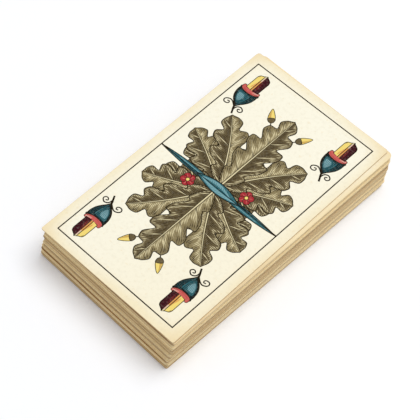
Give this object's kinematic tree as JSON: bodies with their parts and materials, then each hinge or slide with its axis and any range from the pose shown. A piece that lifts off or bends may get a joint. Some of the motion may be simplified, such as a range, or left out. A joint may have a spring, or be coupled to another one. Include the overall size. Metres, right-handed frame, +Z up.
{
  "type": "playing card deck",
  "caption": "Squared stack of loose antique pasteboard playing cards, face up; each card fans about a gripped end and the top card slides off to be dealt.",
  "frame": {"origin": "on the table under the middle of the top card", "axes": "+Y along the top card's long side, away from the end that is gripped; +Z up out of the faces"},
  "size_m": [0.0625, 0.103, 0.016],
  "materials": {
    "pasteboard": "matte aged pasteboard with a printed face and tan worn edges"
  },
  "bodies": {
    "bells_six": {"bells_six": "pasteboard"},
    "bells_seven": {"bells_seven": "pasteboard"},
    "bells_eight": {"bells_eight": "pasteboard"},
    "bells_nine": {"bells_nine": "pasteboard"},
    "bells_ten": {"bells_ten": "pasteboard"},
    "bells_under": {"bells_under": "pasteboard"},
    "bells_over": {"bells_over": "pasteboard"},
    "bells_king": {"bells_king": "pasteboard"},
    "bells_deuce": {"bells_deuce": "pasteboard"},
    "hearts_six": {"hearts_six": "pasteboard"},
    "hearts_seven": {"hearts_seven": "pasteboard"},
    "hearts_eight": {"hearts_eight": "pasteboard"},
    "hearts_nine": {"hearts_nine": "pasteboard"},
    "hearts_ten": {"hearts_ten": "pasteboard"},
    "hearts_under": {"hearts_under": "pasteboard"},
    "hearts_over": {"hearts_over": "pasteboard"},
    "hearts_king": {"hearts_king": "pasteboard"},
    "hearts_deuce": {"hearts_deuce": "pasteboard"},
    "leaves_six": {"leaves_six": "pasteboard"},
    "leaves_seven": {"leaves_seven": "pasteboard"},
    "leaves_eight": {"leaves_eight": "pasteboard"},
    "leaves_nine": {"leaves_nine": "pasteboard"},
    "leaves_ten": {"leaves_ten": "pasteboard"},
    "leaves_under": {"leaves_under": "pasteboard"},
    "leaves_over": {"leaves_over": "pasteboard"},
    "leaves_king": {"leaves_king": "pasteboard"},
    "leaves_deuce": {"leaves_deuce": "pasteboard"},
    "acorns_six": {"acorns_six": "pasteboard"},
    "acorns_seven": {"acorns_seven": "pasteboard"},
    "acorns_eight": {"acorns_eight": "pasteboard"},
    "acorns_nine": {"acorns_nine": "pasteboard"},
    "acorns_ten": {"acorns_ten": "pasteboard"},
    "acorns_under": {"acorns_under": "pasteboard"},
    "acorns_over": {"acorns_over": "pasteboard"},
    "acorns_king": {"acorns_king": "pasteboard"},
    "acorns_deuce": {"acorns_deuce": "pasteboard"}
  },
  "joints": [
    {"name": "deal_top_card", "type": "slide", "parent": "acorns_king", "child": "acorns_deuce", "axis": [0, 1, 0], "range_m": [0, 0.045]},
    {"name": "fan_bells_seven", "type": "hinge", "parent": "bells_six", "child": "bells_seven", "pos_m": [0, -0.038, 0], "axis": [0, 0, 1], "range_deg": [-4.5, 4.5]},
    {"name": "fan_bells_eight", "type": "hinge", "parent": "bells_seven", "child": "bells_eight", "pos_m": [0, -0.038, 0], "axis": [0, 0, 1], "range_deg": [-4.5, 4.5]},
    {"name": "fan_bells_nine", "type": "hinge", "parent": "bells_eight", "child": "bells_nine", "pos_m": [0, -0.038, 0], "axis": [0, 0, 1], "range_deg": [-4.5, 4.5]},
    {"name": "fan_bells_ten", "type": "hinge", "parent": "bells_nine", "child": "bells_ten", "pos_m": [0, -0.038, 0], "axis": [0, 0, 1], "range_deg": [-4.5, 4.5]},
    {"name": "fan_bells_under", "type": "hinge", "parent": "bells_ten", "child": "bells_under", "pos_m": [0, -0.038, 0], "axis": [0, 0, 1], "range_deg": [-4.5, 4.5]},
    {"name": "fan_bells_over", "type": "hinge", "parent": "bells_under", "child": "bells_over", "pos_m": [0, -0.038, 0], "axis": [0, 0, 1], "range_deg": [-4.5, 4.5]},
    {"name": "fan_bells_king", "type": "hinge", "parent": "bells_over", "child": "bells_king", "pos_m": [0, -0.038, 0], "axis": [0, 0, 1], "range_deg": [-4.5, 4.5]},
    {"name": "fan_bells_deuce", "type": "hinge", "parent": "bells_king", "child": "bells_deuce", "pos_m": [0, -0.038, 0], "axis": [0, 0, 1], "range_deg": [-4.5, 4.5]},
    {"name": "fan_hearts_six", "type": "hinge", "parent": "bells_deuce", "child": "hearts_six", "pos_m": [0, -0.038, 0], "axis": [0, 0, 1], "range_deg": [-4.5, 4.5]},
    {"name": "fan_hearts_seven", "type": "hinge", "parent": "hearts_six", "child": "hearts_seven", "pos_m": [0, -0.038, 0], "axis": [0, 0, 1], "range_deg": [-4.5, 4.5]},
    {"name": "fan_hearts_eight", "type": "hinge", "parent": "hearts_seven", "child": "hearts_eight", "pos_m": [0, -0.038, 0], "axis": [0, 0, 1], "range_deg": [-4.5, 4.5]},
    {"name": "fan_hearts_nine", "type": "hinge", "parent": "hearts_eight", "child": "hearts_nine", "pos_m": [0, -0.038, 0], "axis": [0, 0, 1], "range_deg": [-4.5, 4.5]},
    {"name": "fan_hearts_ten", "type": "hinge", "parent": "hearts_nine", "child": "hearts_ten", "pos_m": [0, -0.038, 0], "axis": [0, 0, 1], "range_deg": [-4.5, 4.5]},
    {"name": "fan_hearts_under", "type": "hinge", "parent": "hearts_ten", "child": "hearts_under", "pos_m": [0, -0.038, 0], "axis": [0, 0, 1], "range_deg": [-4.5, 4.5]},
    {"name": "fan_hearts_over", "type": "hinge", "parent": "hearts_under", "child": "hearts_over", "pos_m": [0, -0.038, 0], "axis": [0, 0, 1], "range_deg": [-4.5, 4.5]},
    {"name": "fan_hearts_king", "type": "hinge", "parent": "hearts_over", "child": "hearts_king", "pos_m": [0, -0.038, 0], "axis": [0, 0, 1], "range_deg": [-4.5, 4.5]},
    {"name": "fan_hearts_deuce", "type": "hinge", "parent": "hearts_king", "child": "hearts_deuce", "pos_m": [0, -0.038, 0], "axis": [0, 0, 1], "range_deg": [-4.5, 4.5]},
    {"name": "fan_leaves_six", "type": "hinge", "parent": "hearts_deuce", "child": "leaves_six", "pos_m": [0, -0.038, 0], "axis": [0, 0, 1], "range_deg": [-4.5, 4.5]},
    {"name": "fan_leaves_seven", "type": "hinge", "parent": "leaves_six", "child": "leaves_seven", "pos_m": [0, -0.038, 0], "axis": [0, 0, 1], "range_deg": [-4.5, 4.5]},
    {"name": "fan_leaves_eight", "type": "hinge", "parent": "leaves_seven", "child": "leaves_eight", "pos_m": [0, -0.038, 0], "axis": [0, 0, 1], "range_deg": [-4.5, 4.5]},
    {"name": "fan_leaves_nine", "type": "hinge", "parent": "leaves_eight", "child": "leaves_nine", "pos_m": [0, -0.038, 0], "axis": [0, 0, 1], "range_deg": [-4.5, 4.5]},
    {"name": "fan_leaves_ten", "type": "hinge", "parent": "leaves_nine", "child": "leaves_ten", "pos_m": [0, -0.038, 0], "axis": [0, 0, 1], "range_deg": [-4.5, 4.5]},
    {"name": "fan_leaves_under", "type": "hinge", "parent": "leaves_ten", "child": "leaves_under", "pos_m": [0, -0.038, 0], "axis": [0, 0, 1], "range_deg": [-4.5, 4.5]},
    {"name": "fan_leaves_over", "type": "hinge", "parent": "leaves_under", "child": "leaves_over", "pos_m": [0, -0.038, 0], "axis": [0, 0, 1], "range_deg": [-4.5, 4.5]},
    {"name": "fan_leaves_king", "type": "hinge", "parent": "leaves_over", "child": "leaves_king", "pos_m": [0, -0.038, 0], "axis": [0, 0, 1], "range_deg": [-4.5, 4.5]},
    {"name": "fan_leaves_deuce", "type": "hinge", "parent": "leaves_king", "child": "leaves_deuce", "pos_m": [0, -0.038, 0], "axis": [0, 0, 1], "range_deg": [-4.5, 4.5]},
    {"name": "fan_acorns_six", "type": "hinge", "parent": "leaves_deuce", "child": "acorns_six", "pos_m": [0, -0.038, 0], "axis": [0, 0, 1], "range_deg": [-4.5, 4.5]},
    {"name": "fan_acorns_seven", "type": "hinge", "parent": "acorns_six", "child": "acorns_seven", "pos_m": [0, -0.038, 0], "axis": [0, 0, 1], "range_deg": [-4.5, 4.5]},
    {"name": "fan_acorns_eight", "type": "hinge", "parent": "acorns_seven", "child": "acorns_eight", "pos_m": [0, -0.038, 0], "axis": [0, 0, 1], "range_deg": [-4.5, 4.5]},
    {"name": "fan_acorns_nine", "type": "hinge", "parent": "acorns_eight", "child": "acorns_nine", "pos_m": [0, -0.038, 0], "axis": [0, 0, 1], "range_deg": [-4.5, 4.5]},
    {"name": "fan_acorns_ten", "type": "hinge", "parent": "acorns_nine", "child": "acorns_ten", "pos_m": [0, -0.038, 0], "axis": [0, 0, 1], "range_deg": [-4.5, 4.5]},
    {"name": "fan_acorns_under", "type": "hinge", "parent": "acorns_ten", "child": "acorns_under", "pos_m": [0, -0.038, 0], "axis": [0, 0, 1], "range_deg": [-4.5, 4.5]},
    {"name": "fan_acorns_over", "type": "hinge", "parent": "acorns_under", "child": "acorns_over", "pos_m": [0, -0.038, 0], "axis": [0, 0, 1], "range_deg": [-4.5, 4.5]},
    {"name": "fan_acorns_king", "type": "hinge", "parent": "acorns_over", "child": "acorns_king", "pos_m": [0, -0.038, 0], "axis": [0, 0, 1], "range_deg": [-4.5, 4.5]}
  ]
}
